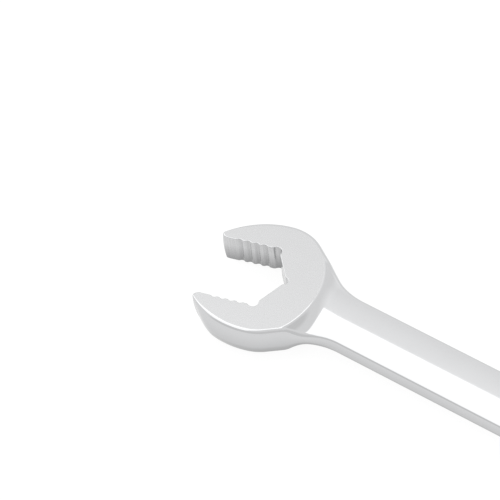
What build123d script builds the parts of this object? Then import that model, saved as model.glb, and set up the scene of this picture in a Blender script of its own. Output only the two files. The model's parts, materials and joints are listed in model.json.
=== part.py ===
"""Reversible ratcheting combination wrench for a 19 mm hexagon.

An open end with grooved jaws at one end of a flat shank, and a twelve-point ratcheting
ring at the other. The origin is the ring's centre at mid-thickness, +X runs along the
shank to the open end and +Z is up. All sizes are in millimetres and degrees.
"""
from build123d import *
from math import asin, atan, atan2, cos, degrees, hypot, pi, radians, sin, sqrt
import os

os.makedirs("parts", exist_ok=True)

# ---- open end ----
JAW_GAP = 19.1              # for a 19 mm nut, with the usual running allowance
NUT_X = 217.0               # centre of the nut the open end holds
NUT_Y = 2.25                # the head hangs a little to one side of the shank
HEAD_ANGLE = 16.0           # the mouth is turned from the shank's line
HEAD_T = 8.5
HEAD_BULGE = 1.1            # how far the side wall stands out at mid-thickness
HEAD_EDGE = 0.35            # the hollow step starts this far inside the head's outline
BACK_R = 22.8               # arc behind the nut
BACK_CENTRE = 2.9
FRONT_R = 22.4              # arc along the outside of each jaw
FRONT_CENTRE = (-5.8, 4.6)
SHOULDER_R = 12.0           # joins the back arc to each jaw's arc
SHOULDER_CENTRE = (-6.22, 5.79)
OUTLINE_SHIFT = 0.15       # the head's outline lies this far to one side of the nut
LEAD_IN_START = 8.8         # where the jaw's flat starts to open towards its tip
LEAD_IN_R = 2.4
GROOVES = 4
GROOVE_FIRST = -1.8
GROOVE_PITCH = 2.3
GROOVE_DEPTH = 0.4
GROOVE_WIDTH = 1.5
JAW_RELIEF = (-5.15, 8.7)   # centre of the clearance pocket at each jaw's root
JAW_RELIEF_R = 1.45
THROAT_RELIEF = -10.3       # centre of the clearance pocket at the throat
THROAT_RELIEF_R = 1.15

# ---- shank ----
SHANK_HALF_RING = 7.65      # half width beside the ring's neck
SHANK_HALF_OPEN = 7.65      # half width beside the open end
SHANK_EDGE_T = 4.4          # thickness along its edges
SHANK_CROWN = 0.6           # rise of each face in the middle
SHANK_CROWN_HALF = 6.7
SHANK_ROUND = 1.0
SHANK_ROUND_START_X = 35.65 # where the rounding of its long edges starts
FLARES = {1: (185.0, 16.0), -1: (187.0, 18.0)}   # side: start along the shank, radius
FLARE_BITE = 0.05           # each flare's line runs this far into the shoulder
COVE_R = 4.7                # hollow step from the head's face down to the shank

# ---- ratchet ring and neck ----
RING_R = 18.2
RING_T = 11.5
RING_EDGE = 0.8
NECK_X = 31.0
NECK_HALF = 8.4
NECK_TOP = 4.0              # height of the flat that the lever turns on
NECK_STEP_X = 18.0
NECK_STEP_RUN = 2.1
UPPER_SLOPE_END_X = 46.0
LOWER_SLOPE_X = 33.0
LOWER_SLOPE_END_X = 52.0
SHANK_START_X = 54.0
NECK_FILLET_R = 25.0

# ---- gear ----
TEETH = 72
TOOTH_TIP_R = 13.95
TOOTH_ROOT_R = 13.35
TOOTH_LAND = 0.12           # width of each tooth's flat top
GEAR_SEAT_Z = 4.25
GEAR_TOP = 4.15
GEAR_BOTTOM = -4.1
HUB_R = 12.5
HUB_HALF = 5.6
BORE_FILLET = 0.5
BORE_CHAMFER = 0.9
BORE_CHAMFER_OVER = 0.3     # the chamfer's cutter runs on past the hub's face
POCKET_R = 14.25
LIP_R = 12.56

# ---- snap ring ----
SNAP_GROOVE_R = 15.0
SNAP_GROOVE_BOTTOM = -5.0
SNAP_GROOVE_T = 0.8
SNAP_T = 0.7
SNAP_OUTER_R = 14.95
SNAP_INNER_R = 13.6
SNAP_EAR_R = 12.9
SNAP_EAR_DEPTH = 1.3
SNAP_GAP_ANGLE = 16.0
SNAP_EAR_ANGLE = 12.0
SNAP_HOLE_R = 0.4

# ---- pawl ----
PIN_X = 18.0
PIN_R = 1.0
PIN_TOP = 3.0
PIN_BOTTOM = -5.55
ROCK = 6.0                  # the pawl rocks this far each side of its middle
PAWL_BOTTOM = -3.2
PAWL_TOP = 1.8
PAWL_REACH_ANGLE = 33.0
PAWL_BACK = (4.0, 3.0)      # back corner, from the pin's axis
PAWL_HORN = (0.8, 0.2)      # outer corner: along from the pin, and in from the toe
PAWL_TOE_STEP = (2.6, 0.8)  # toe's outer corner, from the toe's tip
PAWL_NOTCH = 8.0            # length of the notch that clears the gear
PAWL_NOTCH_HALF = 4.4
PAWL_NOTCH_GAP = 0.5        # from the teeth to the notch's floor
MESH_CLEARANCE = 0.05
CAVITY_BOTTOM = -3.3
CAVITY_TOP = 1.9
CAVITY_HALF = 8.8
CAVITY_END_X = 22.9
CAVITY_CORNER_R = 2.0

# ---- selector lever ----
LEVER_X = 25.0
LEVER_SWING = 18.0          # each side of the middle
STEM_R = 2.8
STEM_HOLE_R = 2.85
STEM_BOTTOM = -5.5
LEVER_BOTTOM = 4.05
LEVER_TOP = 6.3
LEVER_DISC_R = 4.6
LEVER_TAB_X = 8.2
LEVER_TAB_R = 2.3
LEVER_ROUND = 0.5
LEVER_GRIPS = 4
LEVER_GRIP_PITCH = 1.3
LEVER_GRIP_START = -2.2     # from the tab's centre
LEVER_GRIP_W = 0.5
LEVER_GRIP_LENGTH = 3.2
LEVER_GRIP_DEPTH = 0.35
GROOVE_FLOOR_R = 2.2        # floor of the seal groove and of the clip groove
SEAL_Z = 2.85
SEAL_R = 0.32
SEAL_GROOVE_T = 0.75
CLIP_Z = -4.95
CLIP_T = 0.45
CLIP_R = 3.6
CLIP_MOUTH = 3.74           # opening that passes over the stem
CLIP_SCALLOP_R = 0.8
CLIP_SCALLOP_INSET = 0.3
CLIP_SCALLOP_ANGLES = (120, 240)
CLIP_SEAT_R = 4.0
CLIP_SEAT_DEPTH = 1.2
DETENT_Z = -0.7
DETENT_BORE_R = 1.15
DETENT_BORE_END = 1.6
BALL_R = 1.1
BALL_REACH = 2.4            # from the lever's axis to the ball's centre
BALL_GAP = 0.25             # the pawl's back clears the ball by this in mid-swing
SPRING_COIL_R = 0.85
SPRING_WIRE_R = 0.16
SPRING_TURNS = 5
SPRING_GAP = 0.03           # between the spring's end and the ball

RUNNING_GAP = 0.05

jaw_plane = Plane(
    origin=(NUT_X, NUT_Y, 0),
    x_dir=(cos(radians(HEAD_ANGLE)), sin(radians(HEAD_ANGLE)), 0),
    z_dir=(0, 0, 1),
)


def head_outline(grow):
    """The open head without its mouth: a back arc, two jaw arcs and rounded shoulders."""
    with BuildSketch() as outline:
        with Locations((BACK_CENTRE, OUTLINE_SHIFT)):
            Circle(BACK_R + grow)
        for side in (-1, 1):
            with Locations((FRONT_CENTRE[0], OUTLINE_SHIFT + side * FRONT_CENTRE[1])):
                Circle(FRONT_R + grow, mode=Mode.INTERSECT)
        fillet(outline.vertices().sort_by(Axis.X)[0:2], SHOULDER_R + grow)
    return outline.sketch


def mouth_outline():
    """The space between the jaws, with its nut flats, grooves, reliefs and lead-in."""
    half = JAW_GAP / 2
    groove_r = ((GROOVE_WIDTH / 2) ** 2 + GROOVE_DEPTH**2) / (2 * GROOVE_DEPTH)
    with BuildSketch() as outline:
        RegularPolygon(half / cos(radians(30)), 6)
        with Locations((half, 0)):
            Rectangle(2 * half, JAW_GAP)
        with Locations((THROAT_RELIEF, 0)):
            Circle(THROAT_RELIEF_R)
        for side in (-1, 1):
            with Locations((JAW_RELIEF[0], side * JAW_RELIEF[1])):
                Circle(JAW_RELIEF_R)
            for index in range(GROOVES):
                groove_x = GROOVE_FIRST + index * GROOVE_PITCH
                with Locations((groove_x, side * (half + GROOVE_DEPTH - groove_r))):
                    Circle(groove_r)
            with BuildLine():
                arc_end = (
                    LEAD_IN_START + LEAD_IN_R * cos(radians(30)),
                    side * (half + LEAD_IN_R * (1 - sin(radians(30)))),
                )
                TangentArc((LEAD_IN_START, side * half), arc_end, tangent=(1, 0))
                Polyline(arc_end, (2 * half, arc_end[1]), (2 * half, 0), (LEAD_IN_START, 0),
                         (LEAD_IN_START, side * half))
            make_face()
    return outline.sketch


def flare_outline(side):
    """One hollow flare: an arc off the shank's edge, then a line that meets the shoulder."""
    start_x, radius = FLARES[side]
    shoulder = Vector(SHOULDER_CENTRE[0], OUTLINE_SHIFT + side * SHOULDER_CENTRE[1])
    shoulder = shoulder.rotate(Axis.Z, HEAD_ANGLE) + Vector(NUT_X, NUT_Y)
    gap_x = shoulder.X - start_x
    gap_y = side * shoulder.Y - SHANK_HALF_OPEN - radius
    radii = radius + SHOULDER_R + HEAD_BULGE / 2 - FLARE_BITE
    slope = atan2(gap_y, gap_x) + asin(radii / hypot(gap_x, gap_y))
    run = sqrt(gap_x**2 + gap_y**2 - radii**2)
    with BuildSketch() as outline:
        with BuildLine():
            arc = JernArc((start_x, side * SHANK_HALF_OPEN), (1, 0), radius, side * degrees(slope))
            edge = PolarLine(arc @ 1, run, side * degrees(slope))
            Polyline(edge @ 1, (NUT_X - BACK_CENTRE, 0), (start_x, 0), arc @ 0)
        make_face()
    return outline.sketch


def plan_outline():
    """The whole forging from above: ring, neck, shank, flares and open head."""
    lean = atan2(NECK_HALF, NECK_X) + atan2(sqrt(NECK_X**2 + NECK_HALF**2 - RING_R**2), RING_R)
    parts = [head_outline(HEAD_BULGE / 2), flare_outline(1), flare_outline(-1)]
    with BuildSketch() as outline:
        with BuildLine():
            side = [
                (RING_R * cos(lean), RING_R * sin(lean)),
                (NECK_X, NECK_HALF),
                (SHANK_START_X, SHANK_HALF_RING),
                (FLARES[1][0], SHANK_HALF_OPEN),
                (NUT_X - BACK_CENTRE, SHANK_HALF_OPEN),
            ]
            Polyline(*side, *[(x, -y) for x, y in reversed(side)], close=True)
        make_face()
        neck_corners = outline.vertices().filter_by_position(
            Axis.X, NECK_X - 1, SHANK_START_X + 1
        )
        fillet(neck_corners, NECK_FILLET_R)
        Circle(RING_R)
        with Locations(Location((NUT_X, NUT_Y, 0), (0, 0, HEAD_ANGLE))):
            add(parts[0])
        add(parts[1])
        add(parts[2])
    return outline.sketch


def neck_profile():
    """Side view of the ring, the stepped neck and the two slopes down to the shank."""
    half = RING_T / 2
    with BuildSketch(Plane.XZ) as outline:
        with BuildLine():
            step = Spline((NECK_STEP_X, half), (NECK_STEP_X + NECK_STEP_RUN, NECK_TOP),
                          tangents=[(0.6, -1), (1, 0)])
            top = Line(step @ 1, (NECK_X, NECK_TOP))
            upper = Spline(top @ 1, (UPPER_SLOPE_END_X, SHANK_EDGE_T / 2),
                           tangents=[(1, 0), (1, 0)])
            foot = Line(upper @ 1, (LOWER_SLOPE_END_X, SHANK_EDGE_T / 2))
            end = Line(foot @ 1, (LOWER_SLOPE_END_X, -SHANK_EDGE_T / 2))
            lower = Spline(end @ 1, (LOWER_SLOPE_X, -half), tangents=[(-1, 0), (-1, 0)])
            Polyline(lower @ 1, (-2 * RING_R, -half), (-2 * RING_R, half), step @ 0)
        make_face()
    return outline.sketch


def cove_profile():
    """Section of the hollow step, from the back arc's centre outwards."""
    rise = (HEAD_T - SHANK_EDGE_T) / 2
    run = sqrt(COVE_R**2 - (COVE_R - rise) ** 2)
    foot = BACK_R - HEAD_EDGE + run
    with BuildSketch(Plane(origin=cove_centre, x_dir=(-1, 0, 0), z_dir=(0, -1, 0))) as outline:
        for side in (-1, 1):
            with BuildLine():
                low = side * SHANK_EDGE_T / 2
                high = side * HEAD_T / 2
                curve = RadiusArc((foot, low), (BACK_R - HEAD_EDGE, high), -side * COVE_R)
                Polyline(curve @ 1, (BACK_R / 2, high), (BACK_R / 2, 0), (foot, 0), curve @ 0)
            make_face()
    return outline.sketch


def gear_outline(grow):
    """Pointed ratchet teeth round a circle, one of them centred on +X."""
    pitch = 2 * pi / TEETH
    tip = TOOTH_TIP_R + grow
    root = TOOTH_ROOT_R + grow
    land = TOOTH_LAND / tip
    points = []
    for tooth in range(TEETH):
        middle = tooth * pitch
        for radius, angle in ((tip, -land / 2), (tip, land / 2), (root, pitch / 2)):
            points.append((radius * cos(middle + angle), radius * sin(middle + angle)))
    with BuildSketch() as outline:
        with BuildLine():
            Polyline(*points, close=True)
        make_face()
    return outline.sketch


# ---- wrench body: the forging ----
forging = plan_outline()
open_head = head_outline(HEAD_BULGE)
mouth = mouth_outline()
draft = degrees(atan(HEAD_BULGE / (HEAD_T / 2)))
back_centre = Vector(BACK_CENTRE, OUTLINE_SHIFT).rotate(Axis.Z, HEAD_ANGLE)
cove_centre = (NUT_X + back_centre.X, NUT_Y + back_centre.Y, 0)
crown_r = (SHANK_CROWN_HALF**2 + SHANK_CROWN**2) / (2 * SHANK_CROWN)
crown_z = SHANK_EDGE_T / 2 + SHANK_CROWN - crown_r

with BuildPart() as shank:
    extrude(forging, amount=SHANK_EDGE_T / 2, both=True)
    long_edges = shank.faces().filter_by(Axis.Z).edges().filter_by_position(
        Axis.X, SHANK_ROUND_START_X, NUT_X - SHOULDER_R
    )
    fillet(long_edges, SHANK_ROUND)

with BuildPart() as cove:
    revolve(cove_profile(), axis=Axis(cove_centre, (0, 0, 1)))
    extrude(forging, amount=HEAD_T, both=True, mode=Mode.INTERSECT)

with BuildPart() as wrench_body:
    extrude(forging, amount=RING_T / 2, both=True)
    extrude(neck_profile(), amount=2 * RING_R, both=True, mode=Mode.INTERSECT)
    rims = wrench_body.faces().filter_by(Axis.Z).group_by(Axis.Z)
    rim_edges = rims[0].edges() + rims[-1].edges().filter_by(GeomType.CIRCLE)
    fillet(rim_edges, RING_EDGE)
    add(shank.part)
    with BuildSketch(Plane.YZ.offset(NECK_X)):
        with Locations((0, crown_z)):
            Circle(crown_r)
        with Locations((0, -crown_z)):
            Circle(crown_r, mode=Mode.INTERSECT)
        Rectangle(2 * SHANK_CROWN_HALF, HEAD_T, mode=Mode.INTERSECT)
    extrude(amount=NUT_X - BACK_R - NECK_X)
    with BuildSketch(jaw_plane):
        add(open_head)
    extrude(amount=HEAD_T / 2, both=True, taper=draft)
    add(cove.part)
    with BuildSketch(jaw_plane):
        add(mouth)
    extrude(amount=HEAD_T, both=True, mode=Mode.SUBTRACT)

    with BuildSketch(Plane.XY.offset(GEAR_SEAT_Z)):
        Circle(POCKET_R)
    extrude(amount=-RING_T, mode=Mode.SUBTRACT)
    with BuildSketch():
        Circle(LIP_R)
    extrude(amount=RING_T, mode=Mode.SUBTRACT)
    with BuildSketch(Plane.XY.offset(SNAP_GROOVE_BOTTOM)):
        Circle(SNAP_GROOVE_R)
    extrude(amount=SNAP_GROOVE_T, mode=Mode.SUBTRACT)
    with BuildSketch(Plane.XY.offset(CAVITY_BOTTOM)):
        with Locations((CAVITY_END_X / 2, 0)):
            RectangleRounded(CAVITY_END_X, 2 * CAVITY_HALF, CAVITY_CORNER_R)
    extrude(amount=CAVITY_TOP - CAVITY_BOTTOM, mode=Mode.SUBTRACT)
    with Locations((LEVER_X, 0, 0)):
        Hole(STEM_HOLE_R)
    with BuildSketch(Plane.XY.offset(-RING_T / 2)):
        with Locations((LEVER_X, 0)):
            Circle(CLIP_SEAT_R)
    extrude(amount=CLIP_SEAT_DEPTH, mode=Mode.SUBTRACT)
    with BuildSketch(Plane.XY.offset(PIN_TOP)):
        with Locations((PIN_X, 0)):
            Circle(PIN_R)
    extrude(amount=-RING_T, mode=Mode.SUBTRACT)
wrench_body.part.label = "wrench_body"
export_step(wrench_body.part, "parts/wrench_body.step")

# ---- ratchet gear ----
with BuildPart() as ratchet_gear:
    with BuildSketch(Plane.XY.offset(GEAR_BOTTOM)):
        add(gear_outline(0))
    extrude(amount=GEAR_TOP - GEAR_BOTTOM)
    with BuildSketch():
        Circle(HUB_R)
    extrude(amount=HUB_HALF, both=True)
    with BuildSketch() as bore:
        for turn in (0, 30):
            RegularPolygon(JAW_GAP / 2 / cos(radians(30)), 6, rotation=turn)
        corners = bore.vertices().sort_by_distance((0, 0))[-12:]
        fillet(corners, BORE_FILLET)
    extrude(amount=RING_T, both=True, mode=Mode.SUBTRACT)
    bore_point_r = JAW_GAP / 2 / cos(radians(30))
    with BuildSketch(Plane.XZ):
        for side in (-1, 1):
            with BuildLine():
                Polyline(
                    (0, side * (HUB_HALF - BORE_CHAMFER)),
                    (bore_point_r - BORE_CHAMFER, side * (HUB_HALF - BORE_CHAMFER)),
                    (bore_point_r + BORE_CHAMFER_OVER, side * (HUB_HALF + BORE_CHAMFER_OVER)),
                    (0, side * (HUB_HALF + BORE_CHAMFER_OVER)),
                    close=True,
                )
            make_face()
    revolve(axis=Axis.Z, mode=Mode.SUBTRACT)
ratchet_gear.part.label = "ratchet_gear"
export_step(ratchet_gear.part, "parts/ratchet_gear.step")

# ---- snap ring that keeps the gear in ----
with BuildPart() as gear_snap_ring:
    with BuildSketch(Plane.XY.offset(SNAP_GROOVE_BOTTOM + RUNNING_GAP)):
        Circle(SNAP_OUTER_R)
        Circle(SNAP_INNER_R, mode=Mode.SUBTRACT)
        for side in (-1, 1):
            ear_middle = 180 + side * (SNAP_GAP_ANGLE + SNAP_EAR_ANGLE) / 2
            ear_r = SNAP_EAR_R + SNAP_EAR_DEPTH / 2
            with PolarLocations(ear_r, 1, start_angle=ear_middle):
                Rectangle(SNAP_EAR_DEPTH, radians(SNAP_EAR_ANGLE) * ear_r)
            with PolarLocations(ear_r, 1, start_angle=ear_middle):
                Circle(SNAP_HOLE_R, mode=Mode.SUBTRACT)
        with Locations((-SNAP_OUTER_R, 0)):
            Rectangle(2 * (SNAP_OUTER_R - SNAP_EAR_R) + 1, radians(SNAP_GAP_ANGLE) * SNAP_INNER_R,
                      mode=Mode.SUBTRACT)
    extrude(amount=SNAP_T)
gear_snap_ring.part.label = "gear_snap_ring"
export_step(gear_snap_ring.part, "parts/gear_snap_ring.step")

# ---- pawl, rocked so that its +Y toe is in mesh ----
pawl_plane = Plane(
    origin=(PIN_X, 0, PAWL_BOTTOM),
    x_dir=(cos(radians(ROCK)), sin(radians(ROCK)), 0),
    z_dir=(0, 0, 1),
)
gear_cut = gear_outline(MESH_CLEARANCE)
ball_sweep_r = BALL_REACH + BALL_R + BALL_GAP
toe_x = TOOTH_ROOT_R * cos(radians(PAWL_REACH_ANGLE)) - PIN_X
toe_y = TOOTH_ROOT_R * sin(radians(PAWL_REACH_ANGLE))
with BuildPart() as pawl:
    with BuildSketch(pawl_plane):
        with BuildLine():
            shape = [
                PAWL_BACK,
                (PAWL_HORN[0], toe_y - PAWL_HORN[1]),
                (toe_x + PAWL_TOE_STEP[0], toe_y + PAWL_TOE_STEP[1]),
                (toe_x, toe_y),
            ]
            Polyline(*shape, *[(x, -y) for x, y in reversed(shape)], close=True)
        make_face()
        with Locations((TOOTH_TIP_R + PAWL_NOTCH_GAP - PIN_X - PAWL_NOTCH / 2, 0)):
            Rectangle(PAWL_NOTCH, 2 * PAWL_NOTCH_HALF, mode=Mode.SUBTRACT)
        with Locations((LEVER_X - PIN_X, 0)):
            Circle(ball_sweep_r, mode=Mode.SUBTRACT)
        for rock in (-ROCK, ROCK):
            centre = Vector(-PIN_X, 0).rotate(Axis.Z, rock)
            with Locations(Location((centre.X, centre.Y, 0), (0, 0, rock))):
                add(gear_cut, mode=Mode.SUBTRACT)
        Circle(PIN_R + RUNNING_GAP, mode=Mode.SUBTRACT)
    extrude(amount=PAWL_TOP - PAWL_BOTTOM)
pawl.part.label = "pawl"
export_step(pawl.part, "parts/pawl.step")

with BuildPart() as pawl_pin:
    with BuildSketch(Plane.XY.offset(PIN_BOTTOM)):
        with Locations((PIN_X, 0)):
            Circle(PIN_R)
    extrude(amount=PIN_TOP - PIN_BOTTOM)
pawl_pin.part.label = "pawl_pin"
export_step(pawl_pin.part, "parts/pawl_pin.step")

# ---- selector lever, its seal, clip, ball and spring ----
lever_dir = (cos(radians(LEVER_SWING)), -sin(radians(LEVER_SWING)), 0)


def lever_plane(height):
    """A level plane on the lever's axis, with x towards the thumb tab."""
    return Plane(origin=(LEVER_X, 0, height), x_dir=lever_dir, z_dir=(0, 0, 1))


with BuildPart() as selector_lever:
    with BuildSketch(lever_plane(STEM_BOTTOM)):
        Circle(STEM_R)
    extrude(amount=LEVER_BOTTOM - STEM_BOTTOM)
    with BuildSketch(lever_plane(LEVER_BOTTOM)):
        Circle(LEVER_DISC_R)
        with Locations((LEVER_TAB_X, 0)):
            Circle(LEVER_TAB_R)
        make_hull()
    extrude(amount=LEVER_TOP - LEVER_BOTTOM)
    fillet(selector_lever.faces().sort_by(Axis.Z)[-1].edges(), LEVER_ROUND)
    with BuildSketch(lever_plane(LEVER_TOP)):
        for grip in range(LEVER_GRIPS):
            grip_x = LEVER_TAB_X + LEVER_GRIP_START + grip * LEVER_GRIP_PITCH
            with Locations((grip_x, 0)):
                Rectangle(LEVER_GRIP_W, LEVER_GRIP_LENGTH)
    extrude(amount=-LEVER_GRIP_DEPTH, mode=Mode.SUBTRACT)
    for groove_z, groove_t in ((SEAL_Z, SEAL_GROOVE_T), (CLIP_Z, CLIP_T + RUNNING_GAP)):
        with BuildSketch(lever_plane(groove_z - groove_t / 2)):
            Circle(STEM_R + 1)
            Circle(GROOVE_FLOOR_R, mode=Mode.SUBTRACT)
        extrude(amount=groove_t, mode=Mode.SUBTRACT)
    bore_plane = Plane(
        origin=lever_plane(DETENT_Z).from_local_coords((DETENT_BORE_END, 0, 0)),
        x_dir=(0, 0, 1),
        z_dir=(-lever_dir[0], -lever_dir[1], 0),
    )
    with BuildSketch(bore_plane):
        Circle(DETENT_BORE_R)
    extrude(amount=2 * STEM_R, mode=Mode.SUBTRACT)
selector_lever.part.label = "selector_lever"
export_step(selector_lever.part, "parts/selector_lever.step")

with BuildPart() as lever_seal:
    with BuildSketch(Plane(origin=(LEVER_X, 0, SEAL_Z), x_dir=(1, 0, 0), z_dir=(0, -1, 0))):
        with Locations((GROOVE_FLOOR_R + SEAL_R, 0)):
            Circle(SEAL_R)
    revolve(axis=Axis((LEVER_X, 0, 0), (0, 0, 1)))
lever_seal.part.label = "lever_seal"
export_step(lever_seal.part, "parts/lever_seal.step")

with BuildPart() as lever_clip:
    with BuildSketch(Plane.XY.offset(CLIP_Z - CLIP_T / 2)):
        with Locations((LEVER_X, 0)):
            Circle(CLIP_R)
            Circle(GROOVE_FLOOR_R + RUNNING_GAP / 2, mode=Mode.SUBTRACT)
        with Locations((LEVER_X + CLIP_R, 0)):
            Rectangle(2 * CLIP_R, CLIP_MOUTH, mode=Mode.SUBTRACT)
        for angle in CLIP_SCALLOP_ANGLES:
            turn = Vector(CLIP_R - CLIP_SCALLOP_INSET, 0).rotate(Axis.Z, angle)
            with Locations((LEVER_X + turn.X, turn.Y)):
                Circle(CLIP_SCALLOP_R, mode=Mode.SUBTRACT)
    extrude(amount=CLIP_T)
lever_clip.part.label = "lever_clip"
export_step(lever_clip.part, "parts/lever_clip.step")

with BuildPart() as detent_ball:
    with Locations(lever_plane(DETENT_Z).from_local_coords((-BALL_REACH, 0, 0))):
        Sphere(BALL_R)
detent_ball.part.label = "detent_ball"
export_step(detent_ball.part, "parts/detent_ball.step")

touch = sqrt((BALL_R + SPRING_WIRE_R) ** 2 - SPRING_COIL_R**2)
spring_front = BALL_REACH - touch - SPRING_GAP
spring_length = DETENT_BORE_END + spring_front - 2 * SPRING_WIRE_R
spring_start = (DETENT_BORE_END - SPRING_WIRE_R, 0, 0)
with BuildPart() as detent_spring:
    with BuildLine():
        coil = Helix(
            spring_length / SPRING_TURNS,
            spring_length,
            SPRING_COIL_R,
            center=lever_plane(DETENT_Z).from_local_coords(spring_start),
            direction=(-lever_dir[0], -lever_dir[1], 0),
        )
    with BuildSketch(Plane(origin=coil @ 0, z_dir=coil % 0)):
        Circle(SPRING_WIRE_R)
    sweep(path=coil, is_frenet=True)
detent_spring.part.label = "detent_spring"
export_step(detent_spring.part, "parts/detent_spring.step")
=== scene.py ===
"""Looks of the reversible ratcheting combination wrench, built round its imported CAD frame.

The forging, gear, lever, detent spring and snap ring are rebuilt as fine meshes. The other inner
pieces keep their CAD shapes. Lengths are in millimetres until a mesh goes to Blender in metres.
"""
import json
from math import acos, asin, atan2, ceil, cos, hypot, pi, radians, sin, sqrt, tan

import bpy
import numpy as np
from mathutils import Matrix, Vector
from mathutils.geometry import delaunay_2d_cdt


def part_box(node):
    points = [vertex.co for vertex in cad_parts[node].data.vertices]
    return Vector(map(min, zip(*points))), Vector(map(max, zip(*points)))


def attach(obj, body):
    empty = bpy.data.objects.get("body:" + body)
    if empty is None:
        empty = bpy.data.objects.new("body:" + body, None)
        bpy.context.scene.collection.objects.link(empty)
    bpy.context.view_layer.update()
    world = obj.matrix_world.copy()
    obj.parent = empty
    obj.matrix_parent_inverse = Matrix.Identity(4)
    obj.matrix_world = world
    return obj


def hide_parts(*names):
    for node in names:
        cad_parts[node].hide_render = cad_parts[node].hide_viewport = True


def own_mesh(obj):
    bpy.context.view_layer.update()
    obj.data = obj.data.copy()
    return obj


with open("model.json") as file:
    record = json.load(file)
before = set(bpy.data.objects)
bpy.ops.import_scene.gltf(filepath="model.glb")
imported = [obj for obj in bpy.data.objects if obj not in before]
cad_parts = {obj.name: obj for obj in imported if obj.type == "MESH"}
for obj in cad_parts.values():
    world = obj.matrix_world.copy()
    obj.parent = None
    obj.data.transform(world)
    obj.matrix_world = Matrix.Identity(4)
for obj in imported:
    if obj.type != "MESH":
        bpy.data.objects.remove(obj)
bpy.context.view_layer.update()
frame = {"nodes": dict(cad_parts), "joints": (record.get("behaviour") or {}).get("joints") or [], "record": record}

MM = 0.001
TINY = 1e-6  # keeps a division finite


def named(rows, name):
    """The row that has a name."""
    return next(row for row in rows if row["name"] == name)


def joint_x(name):
    """How far along the wrench a joint's axis is, in millimetres."""
    return np.array(named(frame["joints"], name)["pos_m"])[0] / MM


def box_mm(node):
    """A CAD node's box in millimetres."""
    low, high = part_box(node)
    return np.array(low) / MM, np.array(high) / MM


# ---- sizes read from the frame ----
body_low, _ = box_mm("wrench_body")
_, gear_high = box_mm("ratchet_gear")
lever_low, lever_high = box_mm("selector_lever")
ring_low, ring_high = box_mm("gear_snap_ring")
jaws = named(frame["record"]["mounts"], "open_jaws")
NUT = np.array(jaws["pos_m"][:2]) / MM
HEAD_TURN = atan2(jaws["axis"][1], jaws["axis"][0])
LEVER_X = joint_x("lever_turn")
PIN_X = joint_x("pawl_rock")
RING_R = -body_low[0]
RING_HALF = -body_low[2]
HUB_HALF = gear_high[2]

# ---- open end ----
JAW_HALF = 9.55  # half the gap between the jaws
HEAD_HALF = 4.25  # half the head's thickness
HEAD_BULGE = 1.07
BACK_CENTRE = 2.9
BACK_R = 22.8
FRONT_CENTRE = (-5.8, 4.6)
FRONT_R = 22.4
SHOULDER_CENTRE = (-6.22, 5.79)
SHOULDER_R = 12.0
OUTLINE_SHIFT = 0.15
BACK_LIMIT = atan2(SHOULDER_CENTRE[1], SHOULDER_CENTRE[0] - BACK_CENTRE)
FRONT_LIMIT = atan2(SHOULDER_CENTRE[1] + FRONT_CENTRE[1], SHOULDER_CENTRE[0] - FRONT_CENTRE[0])
LEAD_IN_START = 9.2
LEAD_IN_R = 2.4
TIP_R = 1.2
TIP_BULGE = 0.3
TIP_EDGE = 0.4
TIP_FOOT = 0.5  # rounding under the tips
TIP_TUCK = 0.7  # the walls start this far inside their circles at the tips
TIP_SWEEP = 0.9  # the tips' outer walls slope in by this much from top to bottom
NOSE_SWEEP = 0.5  # and the tips' ends by this share of it
TIP_FADE = 9.0  # the side wall's bulge grows over this length from the tip
GROOVES = 4
GROOVE_FIRST = -1.8
GROOVE_PITCH = 2.3
GROOVE_DEPTH = 0.4
GROOVE_WIDTH = 1.5
JAW_RELIEF = (-5.15, 8.7)
JAW_RELIEF_R = 1.45
THROAT_RELIEF = -10.3
THROAT_RELIEF_R = 1.15

# ---- shank, neck and ring ----
SHANK_HALF = 7.65
SHANK_EDGE = 2.2  # half thickness along the shank's edges
SHANK_CROWN = 0.6
SHANK_CROWN_EDGE = 0.9  # the crown ends this far inside the shank's side
CROWN_FADE = 0.8  # how much further the crown falls over the flares
SHANK_BULGE = 0.5
FLARES = {1: (185.0, 16.0), -1: (187.0, 18.0)}
COVE_R = 4.7
COVE_RUN = 3.6  # about how far the hollow step reaches from the face's edge
COVE_TAIL = 4.0  # the shank starts to rise this far before the hollow step
COVE_TAIL_SLOPE = 0.05
FACE_EDGE_R = 1.1  # rounding of the face's edge above the hollow step
FACE_INSET = 0.05  # from the head's plan outline in to where that rounding starts
NECK_X = 31.0
NECK_HALF = 8.4
NECK_TOP = 4.0
SHANK_START_X = 54.0
NECK_FILLET_R = 25.0
STEP_R = 18.0  # the ring's top steps down to the neck outside this radius
STEP_RUN = 2.1
STEP_POWER = 2.2  # how much steeper the step starts than it ends
TOP_SPLIT_X = 26.0  # between the step and the slope, where the neck is level
UPPER_SLOPE_END_X = 46.0
LOWER_SLOPE_X = 33.0
LOWER_SLOPE_END_X = 52.0

# ---- edge rounding ----
HEAD_EDGE = 1.1
JAW_EDGE = 0.2
SHANK_ROUND = 0.9
RING_EDGE = 0.8

# ---- ring's bore ----
POCKET_R = 14.25
LIP_R = 12.56
GEAR_SEAT_Z = 4.25
SNAP_GROOVE_R = 15.0
SNAP_GROOVE_BOTTOM = -5.0
SNAP_GROOVE_T = 0.8
CAVITY_BOTTOM = -3.3
CAVITY_TOP = 1.9
CAVITY_HALF = 8.8
CAVITY_END_X = 22.9
CAVITY_CORNER_R = 2.0
STEM_HOLE_R = 2.85
CLIP_SEAT_R = 4.0
CLIP_SEAT_DEPTH = 1.2
PIN_R = 1.0
PIN_TOP = 3.0
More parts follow.
